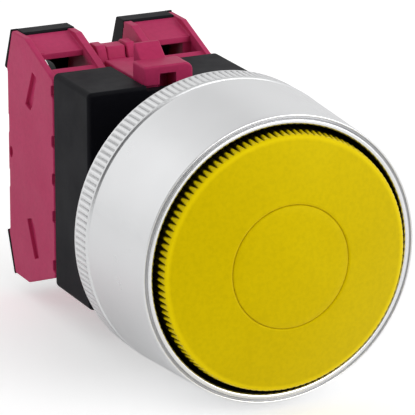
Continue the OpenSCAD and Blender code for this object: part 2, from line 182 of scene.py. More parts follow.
def new_material(name):
    material = bpy.data.materials.new(name)
    material.use_nodes = True
    nodes = Nodes(material.node_tree)
    output = nodes.add("OutputMaterial")
    surface = nodes.add("BsdfPrincipled")
    nodes.feed(output.inputs["Surface"], surface.outputs["BSDF"])
    MATERIALS[name] = material
    return nodes, surface


def plastic(name, base, dark, light, rough, grain, grain_mm, wear, wear_color=None,
            spec=0.5, gloss=(1.0, 1.0, 1.0), ripple=None, ripple_mm=0.0, soft_mm=0.0):
    """Mottled plastic with paler edges. grain and ripple are noise scales with their depths,
    gloss tints the highlights and soft_mm rounds the edges in shading."""
    nodes, surface = new_material(name)
    vector = nodes.coords()
    mottle = nodes.noise(vector, scale=55.0, detail=4.0, rough=0.6, distortion=0.3)
    fine = nodes.noise(vector, scale=1400.0, detail=3.0, rough=0.6)
    color = nodes.ramp(mottle, (0.3, dark), (0.55, base), (0.75, light))
    specks = nodes.ramp(fine, (0.35, 0.93), (0.6, 1.0))
    color = nodes.mix(1.0, color, specks, blend="MULTIPLY")
    edge = nodes.edge_mask(radius=0.00035)
    scuff = nodes.noise(vector, scale=420.0, detail=5.0, rough=0.7)
    worn = nodes.times(edge, nodes.remap(scuff, source=(0.42, 0.66), target=(0.15, 1.0)))
    color = nodes.mix(nodes.times(worn, wear), color, wear_color or light)
    nodes.feed(surface.inputs["Base Color"], color)
    smear = nodes.noise(vector, scale=130.0, detail=4.0, rough=0.65)
    sheen = nodes.remap(smear, source=(0.3, 0.7), target=(rough - 0.06, rough + 0.06))
    nodes.feed(surface.inputs["Roughness"], sheen)
    nodes.feed(surface.inputs["Specular IOR Level"], spec)
    nodes.feed(surface.inputs["Specular Tint"], gloss)
    normal = nodes.rounded_normal(soft_mm * MM) if soft_mm else None
    height = nodes.noise(vector, scale=grain, detail=2.0, rough=0.5)
    normal = nodes.bump(height, strength=0.5, distance=grain_mm * MM, normal=normal)
    if ripple:
        height = nodes.noise(vector, scale=ripple, detail=2.0, rough=0.4)
        normal = nodes.bump(height, strength=0.5, distance=ripple_mm * MM, normal=normal)
    nodes.feed(surface.inputs["Normal"], normal)
    return nodes, surface


def metal(name, base, light, rough, tint=None, grain_mm=0.002, wear=0.25, turned=None,
          vary=0.055):
    """Bare metal, with spots of tint. turned is a noise scale per axis that draws fine lathe
    lines; without it the surface has an even grain. vary is the spread of the roughness."""
    nodes, surface = new_material(name)
    vector = nodes.coords()
    surface.inputs["Metallic"].default_value = 1.0
    mottle = nodes.noise(vector, scale=70.0, detail=4.0, rough=0.6)
    color = nodes.ramp(mottle, (0.3, base), (0.7, light))
    if tint:
        spots = nodes.noise(vector, scale=240.0, detail=5.0, rough=0.7)
        spots = nodes.remap(spots, source=(0.55, 0.8), target=(0.0, 0.35))
        color = nodes.mix(spots, color, tint)
    edge = nodes.edge_mask(radius=0.00025)
    bright = [min(1.0, level * 1.12 + 0.04) for level in light]
    color = nodes.mix(nodes.times(edge, wear), color, bright)
    nodes.feed(surface.inputs["Base Color"], color)
    smear = nodes.noise(vector, scale=110.0, detail=5.0, rough=0.6, distortion=0.4)
    sheen = nodes.remap(smear, source=(0.3, 0.7), target=(rough - vary, rough + vary))
    nodes.feed(surface.inputs["Roughness"], sheen)
    if turned:
        height = nodes.noise(nodes.coords(turned), scale=1.0, detail=2.0, rough=0.6)
        normal = nodes.bump(height, strength=0.25, distance=grain_mm * MM)
    else:
        height = nodes.noise(vector, scale=4000.0, detail=3.0, rough=0.6)
        normal = nodes.bump(height, strength=0.4, distance=grain_mm * MM)
    nodes.feed(surface.inputs["Normal"], normal)
    return nodes, surface


def tooth_shade(nodes, surface):
    """Painted shade in the tooth gaps and on the skirt of the cap, everything below the rim's outer
    skin, and a painted highlight on the rounded front edge of the rim.
    """
    radius, y = nodes.axis_coords()
    skin = nodes.remap(y, source=(RIM_Y, TIP_Y), target=(RIM_R, CAP_R + 0.02))
    gap = nodes.remap(nodes.math("SUBTRACT", skin, radius), source=(0.02, 0.26))
    gap = nodes.times(gap, nodes.remap(y, source=(-31.30, -31.08)))
    skirt = nodes.remap(y, source=(-29.95, -29.55))
    dark = nodes.math("MAXIMUM", gap, skirt)
    dark = nodes.times(dark, nodes.remap(radius, source=(18.9, 19.2)))
    base_color = surface.inputs["Base Color"]
    color = base_color.links[0].from_socket
    # painted highlight: the base colour lightens towards pale yellow on the rounded front edge of
    # the rim
    painted_highlight_mask = nodes.remap(radius, source=(18.75, 19.25), target=(0.0, 0.50))
    with_painted_highlight = nodes.mix(painted_highlight_mask, color, (0.93, 0.72, 0.003))
    # painted shade: the tooth gaps and the skirt go near black, and their gloss is dulled
    with_painted_shade = nodes.mix(nodes.times(dark, 0.97), with_painted_highlight, (0.012, 0.009, 0.002))
    nodes.feed(base_color, with_painted_shade)
    level = surface.inputs["Specular IOR Level"]
    dulled = nodes.remap(dark, source=(0.0, 1.0), target=(level.default_value, 0.08))
    nodes.feed(level, dulled)


def knurl_shade(nodes, surface):
    """Painted shade in the grooves of the knurled grip at the rear of the ring."""
    radius, y = nodes.axis_coords()
    low = nodes.remap(radius, source=(23.31, 23.16), target=(0.0, 0.50))
    front_edge = nodes.remap(y, source=(-11.5, -11.3))
    rear_edge = nodes.remap(y, source=(-7.75, -7.55), target=(1.0, 0.0))
    band = nodes.times(front_edge, rear_edge)
    base_color = surface.inputs["Base Color"]
    color = base_color.links[0].from_socket
    # painted shade: the ring colour darkens towards grey in the groove bottoms
    nodes.feed(base_color, nodes.mix(nodes.times(low, band), color, (0.30, 0.30, 0.305)))


def build_plastics():
    yellow = dict(base=(0.642, 0.478, 0.0004), light=(0.660, 0.497, 0.0008), grain=5200.0,
                  wear_color=(0.86, 0.74, 0.03), spec=0.30, gloss=(1.0, 0.88, 0.02))
    cap = plastic("cap_yellow", dark=(0.618, 0.456, 0.0002), rough=0.34, grain_mm=0.0016,
                  ripple=260.0, ripple_mm=0.003, wear=0.30, **yellow)
    tooth_shade(*cap)
    plastic("disc_yellow", dark=(0.620, 0.458, 0.0002), rough=0.33, grain_mm=0.0018,
            ripple=230.0, ripple_mm=0.004, wear=0.25, **yellow)
    plastic("black_plastic", base=(0.0078, 0.0078, 0.0108), dark=(0.0056, 0.0056, 0.0080),
            light=(0.0120, 0.0122, 0.0158), rough=0.50, grain=4200.0, grain_mm=0.010,
            wear=0.45, wear_color=(0.040, 0.042, 0.046), spec=0.07, soft_mm=0.16)
    plastic("magenta_plastic", base=(0.535, 0.036, 0.130), dark=(0.492, 0.030, 0.114),
            light=(0.575, 0.045, 0.150), rough=0.46, grain=3800.0, grain_mm=0.006,
            ripple=420.0, ripple_mm=0.006, wear=0.40, wear_color=(0.64, 0.14, 0.25),
            spec=0.17, gloss=(1.0, 0.55, 0.68), soft_mm=0.14)
    plastic("ivory_plastic", base=(0.72, 0.67, 0.54), dark=(0.66, 0.60, 0.46),
            light=(0.78, 0.74, 0.63), rough=0.42, grain=4200.0, grain_mm=0.004,
            wear=0.3, wear_color=(0.85, 0.82, 0.74))
    plastic("black_rubber", base=(0.020, 0.020, 0.021), dark=(0.014, 0.014, 0.015),
            light=(0.034, 0.034, 0.035), rough=0.72, grain=3000.0, grain_mm=0.012,
            wear=0.4, wear_color=(0.075, 0.075, 0.075), spec=0.3)


def build_ring_materials():
    ring = metal("satin_ring", base=(0.815, 0.82, 0.83), light=(0.855, 0.86, 0.87),
                 rough=0.25, grain_mm=0.0010, wear=0.35, turned=(45, 7000, 45), vary=0.025)
    knurl_shade(*ring)
    # darker copy of the ring metal for the lip's shallow groove: painted shade
    metal("satin_ring_groove_shade", base=(0.33, 0.33, 0.335), light=(0.42, 0.42, 0.43),
          rough=0.40, wear=0.1)
    # near-black inside of the ring: painted shade in the deep gap round the cap
    plastic("ring_inner_painted_shade", base=(0.012, 0.012, 0.013), dark=(0.009, 0.009, 0.010),
            light=(0.018, 0.018, 0.020), rough=0.55, grain=3000.0, grain_mm=0.006,
            wear=0.2, spec=0.25)


def build_metals():
    metal("zinc_steel", base=(0.36, 0.365, 0.37), light=(0.46, 0.465, 0.47), rough=0.36,
          tint=(0.42, 0.40, 0.33), grain_mm=0.0025)
    metal("spring_steel", base=(0.42, 0.43, 0.45), light=(0.56, 0.57, 0.59), rough=0.27,
          tint=(0.33, 0.30, 0.27))
    metal("contact_brass", base=(0.74, 0.52, 0.20), light=(0.84, 0.64, 0.30), rough=0.30,
          tint=(0.50, 0.31, 0.12))
    # part of the material set, though no piece wears it
    metal("contact_silver", base=(0.78, 0.78, 0.77), light=(0.88, 0.88, 0.87), rough=0.30,
          tint=(0.55, 0.52, 0.47))


# ------------------------------------------------------------------ mesh helpers
def finish(obj, material, node, sharp=None, weighted=True):
    """Material, smooth shading, and the body and CAD node the piece stands for."""
    if not obj.data.materials:
        obj.data.materials.append(MATERIALS[material])
    obj.data.shade_smooth()
    if sharp is not None:
        obj.data.set_sharp_from_angle(angle=math.radians(sharp))
    if weighted:
        normals = obj.modifiers.new("normals", "WEIGHTED_NORMAL")
        normals.keep_sharp = True
        normals.weight = 60
    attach(obj, BODY_OF[node])
    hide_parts(node)


def link_object(name, mesh):
    obj = bpy.data.objects.new(name, mesh)
    scene.collection.objects.link(obj)
    return obj


def mesh_object(name, verts, faces):
    mesh = bpy.data.meshes.new(name)
    mesh.from_pydata([tuple(v) for v in verts], [], faces)
    mesh.update()
    return link_object(name, mesh)


def orient(obj):
    """Turns all faces outward."""
    bm = bmesh.new()
    bm.from_mesh(obj.data)
    bmesh.ops.recalc_face_normals(bm, faces=bm.faces)
    if bm.calc_volume(signed=True) < 0:
        bmesh.ops.reverse_faces(bm, faces=bm.faces)
    bm.to_mesh(obj.data)
    bm.free()


def clean(obj, merge=1.5e-6, flat_deg=0.4, drop_loose=True):
    """Merges close vertices (metres) and dissolves edges between nearly flat faces."""
    bm = bmesh.new()
    bm.from_mesh(obj.data)
    bmesh.ops.remove_doubles(bm, verts=bm.verts[:], dist=merge)
    bmesh.ops.dissolve_degenerate(bm, dist=merge, edges=bm.edges[:])
    bmesh.ops.dissolve_limit(bm, angle_limit=math.radians(flat_deg),
                             use_dissolve_boundaries=False,
                             verts=bm.verts[:], edges=bm.edges[:])
    if drop_loose:
        loose = [v for v in bm.verts if not v.link_faces]
        bmesh.ops.delete(bm, geom=loose, context="VERTS")
    bmesh.ops.recalc_face_normals(bm, faces=bm.faces)
    bm.to_mesh(obj.data)
    bm.free()


def corner_arc(previous, point, following, size, share):
    """Centre, radius, start angle and sweep of the arc that rounds a corner, or None where it
    is nearly straight. The arc takes up no more than the given share of either side."""
    point = np.array(point, float)
    back = np.array(previous, float) - point
    ahead = np.array(following, float) - point
    back_length = np.linalg.norm(back)
    ahead_length = np.linalg.norm(ahead)
    back = back / back_length
    ahead = ahead / ahead_length
    angle = math.acos(float(np.clip(back @ ahead, -1, 1)))
    if angle > math.pi - 0.05:
        return None
    slant = math.tan(angle / 2)
    reach = min(size / slant, share * back_length, share * ahead_length)
    radius = reach * slant
    middle = (back + ahead) / np.linalg.norm(back + ahead)
    centre = point + middle * math.hypot(reach, radius)
    first = point + back * reach - centre
    last = point + ahead * reach - centre
    start = math.atan2(first[1], first[0])
    sweep = (math.atan2(last[1], last[0]) - start + math.pi) % TAU - math.pi
    return centre, radius, start, sweep


def arc_points(centre, radius, start, sweep, steps):
    angles = [start + sweep * j / steps for j in range(steps + 1)]
    return [(centre[0] + radius * math.cos(t), centre[1] + radius * math.sin(t)) for t in angles]


# ------------------------------------------------------------------ turned pieces
def fillet(profile, size, steps, closed=True):
    """Rounds the corners of a (radius, y) profile; an open one keeps its two ends."""
    out = []
    count = len(profile)
    for i, point in enumerate(profile):
        arc = None
        if closed or 0 < i < count - 1:
            arc = corner_arc(profile[i - 1], point, profile[(i + 1) % count], size, share=0.46)
        out += arc_points(*arc, steps) if arc else [point]
    return out


def densify(profile, step):
    """Splits long stretches of a closed profile."""
    out = []
    for i, point in enumerate(profile):
        start = np.array(point)
        end = np.array(profile[(i + 1) % len(profile)])
        out.append(tuple(start))
        pieces = int(np.linalg.norm(end - start) / step)
        for j in range(1, pieces):
            out.append(tuple(start + (end - start) * j / pieces))
    return out


def lathe(name, profile, segments, shape=None, closed=True):
    """Turns a (radius, y) profile about the Y axis; shape(radius, y, angle) may change the
    radius. A closed profile makes a ring; an open one ends on the axis at both ends."""
    verts = []
    rows = []
    for r, y in [(float(r), float(y)) for r, y in profile]:
        if r < 1e-6:
            rows.append([len(verts)])
            verts.append((0.0, y * MM, 0.0))
            continue
        row = []
        for j in range(segments):
            angle = TAU * j / segments
            radius = shape(r, y, angle) if shape else r
            row.append(len(verts))
            verts.append((radius * math.cos(angle) * MM, y * MM, radius * math.sin(angle) * MM))
        rows.append(row)
    pairs = list(zip(rows[:-1], rows[1:]))
    if closed:
        pairs.append((rows[-1], rows[0]))
    faces = []
    for a, b in pairs:
        for j in range(segments):
            k = (j + 1) % segments
            if len(a) == 1:
                faces.append((a[0], b[k], b[j]))
            elif len(b) == 1:
                faces.append((a[j], a[k], b[0]))
            else:
                faces.append((a[j], a[k], b[k], b[j]))
    obj = mesh_object(name, verts, faces)
    orient(obj)
    return obj


def thread(radius, depth, pitch, front, rear, runout=0.8):
    """Shape rule for a thread between front and rear, fading over runout at both ends."""
    def shape(r, y, angle):
        if y < front or y > rear or abs(r - radius) > 0.05:
            return r
        fade = min(1.0, (y - front) / runout, (rear - y) / runout)
        wave = abs(2 * ((y / pitch + angle / TAU) % 1.0) - 1)
        groove = min(1.0, max(0.0, (wave - 0.12) / 0.76))
        return r - depth * fade * groove
    return shape


def shank(radius, start, end, step):
    """Closely spaced profile rows that carry a thread."""
    rows = []
    y = start
    while y < end:
        rows.append((radius, y))
        y += step
    return rows


# ------------------------------------------------------------------ booleans
def solid_state(mesh):
    """Volume, and the number of edges that do not join exactly two faces."""
    bm = bmesh.new()
    bm.from_mesh(mesh)
    volume = bm.calc_volume(signed=True)
    bad = sum(1 for edge in bm.edges if not edge.is_manifold)
    bm.free()
    return volume, bad


def boolean(obj, tool, operation):
    """Exact boolean, worked at 1024 times life size so that the solver keeps fine detail.
    A result that lost the solid or opened it is tried again with the tool moved by a few
    micrometres, and the best one is kept."""
    obj.data.transform(Matrix.Scale(1024.0, 4))
    tool.data.transform(Matrix.Scale(1024.0, 4))
    obj_volume = solid_state(obj.data)[0]
    tool_volume = solid_state(tool.data)[0]
    if operation == "DIFFERENCE":
        least = obj_volume - tool_volume * 1.001 - 1e-3
        most = obj_volume * 1.0005
    else:
        least = max(obj_volume, tool_volume) * 0.9995
        most = (obj_volume + tool_volume) * 1.001
    best = None
    for nudge in [(0, 0, 0), (3, 2, -2), (-3, 4, 3), (5, -3, 4), (-4, -5, -3)]:
        tool.location = [offset * 1.0e-3 for offset in nudge]
        modifier = obj.modifiers.new("b", "BOOLEAN")
        modifier.operation = operation
        modifier.solver = "EXACT"
        modifier.object = tool
        bpy.context.view_layer.update()
        depsgraph = bpy.context.evaluated_depsgraph_get()
        mesh = bpy.data.meshes.new_from_object(obj.evaluated_get(depsgraph))
        obj.modifiers.remove(modifier)
        volume, bad = solid_state(mesh)
        score = (0 if least <= volume <= most else 1000000) + bad
        if best is None or score < best[0]:
            best = (score, mesh)
        if score == 0:
            break
    old = obj.data
    obj.data = best[1]
    obj.data.transform(Matrix.Scale(1 / 1024.0, 4))
    bpy.data.meshes.remove(old)
    bpy.data.objects.remove(tool)


def cut(obj, *tools):
    for tool in tools:
        boolean(obj, tool, "DIFFERENCE")


def join(obj, *others):
    for other in others:
        boolean(obj, other, "UNION")


# ------------------------------------------------------------------ moulded pieces from outlines
# Outlines are (y, z) for a piece drawn out along x, (x, z) along y and (x, y) along z.
PLACE = {"x": lambda s, u, v: (s, u, v),
         "y": lambda s, u, v: (u, s, v),
         "z": lambda s, u, v: (u, v, s)}


def rect(u0, v0, u1, v1):
    return [(u0, v0), (u1, v0), (u1, v1), (u0, v1)]


def centred(half_u, half_v):
    return rect(-half_u, -half_v, half_u, half_v)


def disk(u, v, radius, count=32):
    angles = [TAU * i / count for i in range(count)]
    return [(u + radius * math.cos(t), v + radius * math.sin(t)) for t in angles]


def on_side(side, outline):
    """The outline itself for side 1, mirrored top to bottom for side -1."""
    return [(u, side * v) for u, v in outline]


def round_outline(outline, corners, steps=4, least=0.0):
    """The outline, counter-clockwise, with its corners rounded; corners is one size or one per
    corner. An outer corner's rounding is at least `least`, so that the outline can later move
    inward by that much; steps is the number of pieces in a quarter turn."""
    points = [np.array(p, float) for p in outline]
    count = len(points)
    sizes = list(corners) if isinstance(corners, list) else [corners] * count
    area = sum(points[i - 1][0] * points[i][1] - points[i][0] * points[i - 1][1]
               for i in range(count))
    if area < 0:
        points.reverse()
        sizes.reverse()
    out = []
    for i, point in enumerate(points):
        previous = points[i - 1]
        following = points[(i + 1) % count]
        back = previous - point
        ahead = following - point
        outer = ahead[0] * back[1] - ahead[1] * back[0] > 0
        size = sizes[i]
        if outer and size > 0:
            size = max(size, least + 0.05)
        arc = corner_arc(previous, point, following, size, share=0.47) if size > 0 else None
        if arc is None or (outer and arc[1] < least + 0.01):
            out.append(tuple(point))
            continue
        pieces = max(2, int(round(steps * abs(arc[3]) / (math.pi / 2))))
        out += arc_points(*arc, pieces)
    return out


def inset(outline, distance):
    """Moves a counter-clockwise outline inward."""
    p = np.array(outline, float)
    before = p - np.roll(p, 1, 0)
    after = np.roll(p, -1, 0) - p
    before /= np.linalg.norm(before, axis=1)[:, None]
    after /= np.linalg.norm(after, axis=1)[:, None]
    n1 = np.stack([-before[:, 1], before[:, 0]], 1)
    n2 = np.stack([-after[:, 1], after[:, 0]], 1)
    return p + distance * (n1 + n2) / (1 + (n1 * n2).sum(1))[:, None]


def loft(name, axis, outline, sections):
    """A solid through copies of the outline; sections are (place on the axis, inset)."""
    verts = []
    for place, distance in sections:
        for u, v in (inset(outline, distance) if distance else outline):
            verts.append([c * MM for c in PLACE[axis](place, u, v)])
    faces = []
    n = len(outline)
    for k in range(len(sections) - 1):
        for j in range(n):
            i = (j + 1) % n
            faces.append((k * n + j, k * n + i, (k + 1) * n + i, (k + 1) * n + j))
    faces.append(tuple(range(n)))
    faces.append(tuple(range((len(sections) - 1) * n, len(sections) * n)))
    obj = mesh_object(name, verts, faces)
    orient(obj)
    return obj


def soft_end(place, inward, radius, steps):
    """Sections of a rounded end, from the end inward."""
    if not radius:
        return [(place, 0.0)]
    angles = [k / steps * math.pi / 2 for k in range(steps + 1)]
    return [(place + inward * radius * (1 - math.cos(t)), radius * (1 - math.sin(t)))
            for t in angles]


def prism(name, axis, lo, hi, outline, corners, lo_r, hi_r, edge_steps=3, corner_steps=4):
    """An outline drawn out from lo to hi, with rounded corners; lo_r and hi_r soften its ends."""
    sections = (soft_end(lo, 1, lo_r, edge_steps)
                + soft_end(hi, -1, hi_r, edge_steps)[::-1])
    rounded = round_outline(outline, corners, corner_steps, max(lo_r, hi_r))
    return loft(name, axis, rounded, sections)


def flare(mouth, outward, radius):
    """Sections of a cutter that roll outward up to the surface and a little past it."""
    rows = []
    for degrees in (0, 30, 60):
        t = math.radians(degrees)
        rows.append((mouth - outward * (radius - radius * math.sin(t)),
                     -radius * (1 - math.cos(t))))
    # carries on past the surface at the last slope, 60 degrees
    rows.append((mouth + outward * 0.05, -(0.5 * radius + (0.134 * radius + 0.05) * 1.732)))
    return rows


def cutter(axis, lo, hi, outline, corners, lo_mouth=None, hi_mouth=None, mouth_r=0.16):
    """A cutting tool whose walls roll outward at the surfaces lo_mouth and hi_mouth."""
    start = [(lo, 0.0)]
    end = [(hi, 0.0)]
    if lo_mouth is not None:
        rows = flare(lo_mouth, -1, mouth_r)[::-1]
        start = [(lo, rows[0][1])] + rows
    if hi_mouth is not None:
        rows = flare(hi_mouth, 1, mouth_r)
        end = rows + [(hi, rows[-1][1])]
    return loft("cutter", axis, round_outline(outline, corners), start + end)


def top_and_bottom(near, far, outline, corners, mouth=None):
    """The same cutter along z above and below the axis."""
    below = None if mouth is None else -mouth
    return (cutter("z", near, far, outline, corners, hi_mouth=mouth, mouth_r=0.3),
            cutter("z", -far, -near, outline, corners, lo_mouth=below, mouth_r=0.3))


def turned_over(obj, name):
    """A copy turned half round the button's axis."""
    mesh = obj.data.copy()
    mesh.transform(Matrix.Rotation(math.pi, 4, "Y"))
    return link_object(name, mesh)


# ------------------------------------------------------------------ yellow cap and disc
CAP_EDGE_R = 18.9        # where the dome ends and the rounded front edge begins
# softened lips of the groove round the disc: distance from the groove wall, depth
LIP = [(0.0, 0.30), (0.02, 0.155), (0.08, 0.10), (0.17, 0.05), (0.29, 0.016)]


def dome_y(r):
    return FRONT_Y + DOME_R - math.sqrt(DOME_R * DOME_R - r * r)


def lip(radius, outward, y):
    return [(radius + outward * dr, y + dy) for dr, dy in LIP]


def cap_front_edge():
    """A Bezier curve from the dome to the rim."""
    p0 = np.array([CAP_EDGE_R, dome_y(CAP_EDGE_R)])
    p3 = np.array([RIM_R, RIM_Y])
    p1 = p0 + 0.42 * np.array([0.98, 0.199])
    p2 = p3 - 0.30 * np.array([0.218, 0.976])
    return [tuple((1 - t) ** 3 * p0 + 3 * t * (1 - t) ** 2 * p1 + 3 * t * t * (1 - t) * p2
                  + t ** 3 * p3) for t in [i / 8 for i in range(1, 9)]]


def cap_teeth(r, y, angle):
    if r < 19.4 or y > -25.62 or y < RIM_Y - 0.25:
        return r
    wave = abs(2 * ((angle * CAP_TEETH / TAU) % 1.0) - 1)
    return min(r, 19.55 + 0.50 * wave)


def build_cap():
    # screw hole and its seat, then the pocket
    profile = fillet([(2.2, -24.0), (2.2, -29.4), (4.2, -29.4), (4.2, POCKET_Y)],
                     size=0.1, steps=2, closed=False)
    profile += [(POCKET_R - 0.1, POCKET_Y), (POCKET_R, -31.8)]
    profile += lip(POCKET_R, 1, dome_y(POCKET_R + 0.2))
    for i in range(16):
        r = POCKET_R + 0.45 + (CAP_EDGE_R - POCKET_R - 0.45) * i / 15
        profile.append((r, dome_y(r)))
    profile += cap_front_edge()
    for i in range(1, 12):
        t = i / 11
        profile.append((RIM_R + (CAP_R - RIM_R) * t, RIM_Y + (TIP_Y - RIM_Y) * t))
    profile += [(CAP_R, -28.6), (CAP_R, -27.2), (CAP_R, -26.0), (CAP_R - 0.12, -25.75),
                (CAP_R - 0.42, -25.6)]
    # hollow rear side and hub
    profile += fillet([(19.3, -25.6), (18.5, -25.6), (18.2, -29.5), (6.6, -30.1), (6.5, -24.0),
                       (2.6, -24.0)], size=0.25, steps=3, closed=False)
    cap = lathe("cap_shell", profile, CAP_TEETH * 10, cap_teeth)
    finish(cap, "cap_yellow", "button_cap", sharp=50)


def build_disc():
    back = POCKET_Y - 0.02
    profile = [(0.0, back), (DISC_R - 0.15, back), (DISC_R, -31.8)]
    profile += lip(DISC_R, -1, dome_y(DISC_R))
    for i in range(1, 13):
        r = (DISC_R - 0.42) * (1 - i / 13)
        profile.append((r, dome_y(r)))
    profile.append((0.0, FRONT_Y))
    disc = lathe("center_disc", profile, 240, closed=False)
    finish(disc, "disc_yellow", "cap_center_disc")


# ------------------------------------------------------------------ shroud ring
def bead(r, y, size, degrees):
    """Arc about (r, y); 0 degrees points forward and 90 outward."""
    angles = [math.radians(d) for d in degrees]
    return [(r + size * math.sin(t), y - size * math.cos(t)) for t in angles]


def ring_outside():
    # rolled inner bead at the mouth, shallow groove, thin outer bead
    profile = [(21.0, -28.6), (20.90, -28.85), (20.74, -29.05), (20.68, -29.25)]
    profile += bead(21.10, -29.44, 0.42, range(-90, 1, 15))
    profile += bead(21.34, -29.66, 0.20, range(0, 76, 15))
    profile += [(21.57, -29.52), (21.62, -29.42), (21.72, -29.36), (21.82, -29.35),
                (21.90, -29.38), (21.94, -29.44)]
    profile += bead(22.08, -29.46, 0.165, range(-60, 91, 15))
    # barrel, widening to the rear, and the narrow groove before the grip
    profile += [(22.30, -28.6), (22.55, -24.5), (22.90, -18.5), (23.20, -13.4),
                (23.235, -12.75)]
    profile += bead(23.235 - 0.30, -12.48, 0.30, range(90, 181, 18))
    profile += [(22.86, -12.12), (22.84, -11.98), (22.86, -11.86)]
    # knurled grip
    profile += [(22.98, -11.78), (23.16, -11.73), (23.29, -11.64)]
    profile += [(KNURL_R, y) for y in (-11.52, -11.38, -11.26, -11.12, -10.0, -8.9, -7.95,
                                       -7.78, -7.66, -7.52)]
    profile += [(23.29, -7.40), (23.16, -7.30), (22.98, -7.20), (22.80, -7.06), (22.70, -7.0)]
    return profile


def knurl(r, y, angle):
    if r < KNURL_R - 0.001 or y < -11.45 or y > -7.6:
        return r
    fade = min(1.0, max(0.0, (11.42 + y) / 0.30), max(0.0, (-7.62 - y) / 0.33))
    wave = abs(2 * ((angle * KNURL_TEETH / TAU) % 1.0) - 1)
    return r - 0.24 * fade * (0.5 + 0.5 * math.cos(math.pi * min(1.0, wave / 0.72)))


def build_ring():
    inside = fillet([(18.8, -7.0), (18.8, -7.6), (11.45, -7.6), (11.05, -8.0), (11.05, -14.4),
                     (11.45, -14.8), (14.2, -14.8), (14.6, -14.4), (14.6, -10.2),
                     (21.15, -10.2), (21.45, -11.0), (21.02, -28.3)],
                    size=0.12, steps=2, closed=False)
    profile = ring_outside() + [(21.4, -7.0), (20.0, -7.0)] + inside
    ring = lathe("shroud_shell", profile, KNURL_TEETH * 6, knurl)
    for name in ("satin_ring", "ring_inner_painted_shade", "satin_ring_groove_shade"):
        ring.data.materials.append(MATERIALS[name])
    # faces inside the ring get the near-black painted shade, the lip's groove the darker
    # painted-shade metal
    for face in ring.data.polygons:
        radius = math.hypot(face.center.x, face.center.z) / MM
        y = face.center.y / MM
        if 11.2 < radius < 21.6 and -29.12 < y < -9.9:
            face.material_index = 1
        elif 21.6 < radius < 21.93 and -29.45 < y < -29.3:
            face.material_index = 2
    finish(ring, "satin_ring", "shroud_ring", sharp=60)


# ------------------------------------------------------------------ operator body
def build_operator_block():
    block = prism("operator_block", "y", 7.5, BODY_REAR, centred(BODY_X, BODY_Z), 0.85,
                  lo_r=0.6, hi_r=0.3, edge_steps=4, corner_steps=5)
    # inner room, opening to the neck, corner posts, seat of the rear plate, screw holes
    cut(block, cutter("y", 8.8, PAST_REAR, centred(12.8, 11.4), 0.6),
        cutter("y", 7.0, 9.2, disk(0, 0, 9.4, 96), 0))
    for x, z in CORNERS:
        join(block, prism("post", "y", 8.6, 18.75, disk(x, z, 2.25), 0, lo_r=0, hi_r=0.15))
    cut(block, cutter("y", 18.78, PAST_REAR, centred(13.1, 11.7), 0.5, hi_mouth=BODY_REAR))
    for x, z in CORNERS:
        cut(block, cutter("y", 12.0, 19.4, disk(x, z, 1.03, 20), 0))
    # channels for the latches, with two slots for the legs of each
    cut(block, *top_and_bottom(14.4, 19.5, rect(-4.35, 8.9, 4.35, 22.0), 0.3, mouth=BODY_Z))
    cut(block, *top_and_bottom(16.95, 19.5, rect(-4.35, 6.5, 4.35, 9.3), 0))
    for side in (-1, 1):
        slot = rect(side * 2.7 - 1.55, 9.3, side * 2.7 + 1.55, 13.05)
        cut(block, *top_and_bottom(12.6, 14.9, slot, 0.2))
    clean(block)
    finish(block, "black_plastic", "operator_body", sharp=34)


def build_operator_neck():
    profile = [(8.5, -20.5), (8.7, -20.85), (9.0, -20.9), (10.4, -20.9), (NECK_THREAD_R, -20.4)]
    profile += shank(NECK_THREAD_R, -20.26, -7.75, step=0.14)
    # relief groove, plain neck, flange
    profile += [(NECK_THREAD_R, -7.7), (10.6, -7.66), (10.56, -7.6), (10.56, -6.3),
                (10.62, -6.24), (NECK_R - 0.03, -6.2), (NECK_R, -6.15), (NECK_R, -4.2),
                (NECK_R, -2.1), (NECK_R, 0.0)]
    profile += [(11.6, 0.0), (13.6, 0.0), (13.85, 0.07), (13.97, 0.2), (14.0, 0.4),
                (14.0, 3.8), (14.0, 7.2), (14.0, 7.9)]
    # stepped bore, from the rear forward
    profile += [(9.4, 7.9), (9.4, 4.0), (9.4, 1.15), (9.25, 1.0), (5.2, 1.0), (5.06, 0.9),
                (5.06, -2.9), (5.2, -3.0), (8.35, -3.0), (8.5, -3.15), (8.5, -12.0)]
    shape = thread(NECK_THREAD_R, depth=0.6, pitch=1.5, front=-20.5, rear=-7.65)
    neck = lathe("operator_neck", profile, 144, shape)
    # keyway along the underside
    cut(neck, cutter("z", -13, -10.1, rect(-1.6, -21.5, 1.6, -0.02), 0.3))
    finish(neck, "black_plastic", "operator_body", sharp=38)


def build_rear_plate():
    plate = prism("rear_plate", "y", 18.8, BODY_REAR, centred(13.0, 11.6), 0.5,
                  lo_r=0.1, hi_r=0.2)
    for hole in (disk(-BLOCK_X, 0, 2.25), disk(BLOCK_X, 0, 2.25), disk(0, 0, 3.4, 48)):
        cut(plate, cutter("y", 18, PAST_REAR, hole, 0, hi_mouth=BODY_REAR))
    for x, z in CORNERS:
        cut(plate, cutter("y", 18, PAST_REAR, disk(x, z, 1.15, 20), 0),
            cutter("y", 19.6, PAST_REAR, disk(x, z, 2.05, 24), 0, hi_mouth=BODY_REAR,
                   mouth_r=0.1))
    clean(plate)
    finish(plate, "black_plastic", "body_rear_plate", sharp=34)


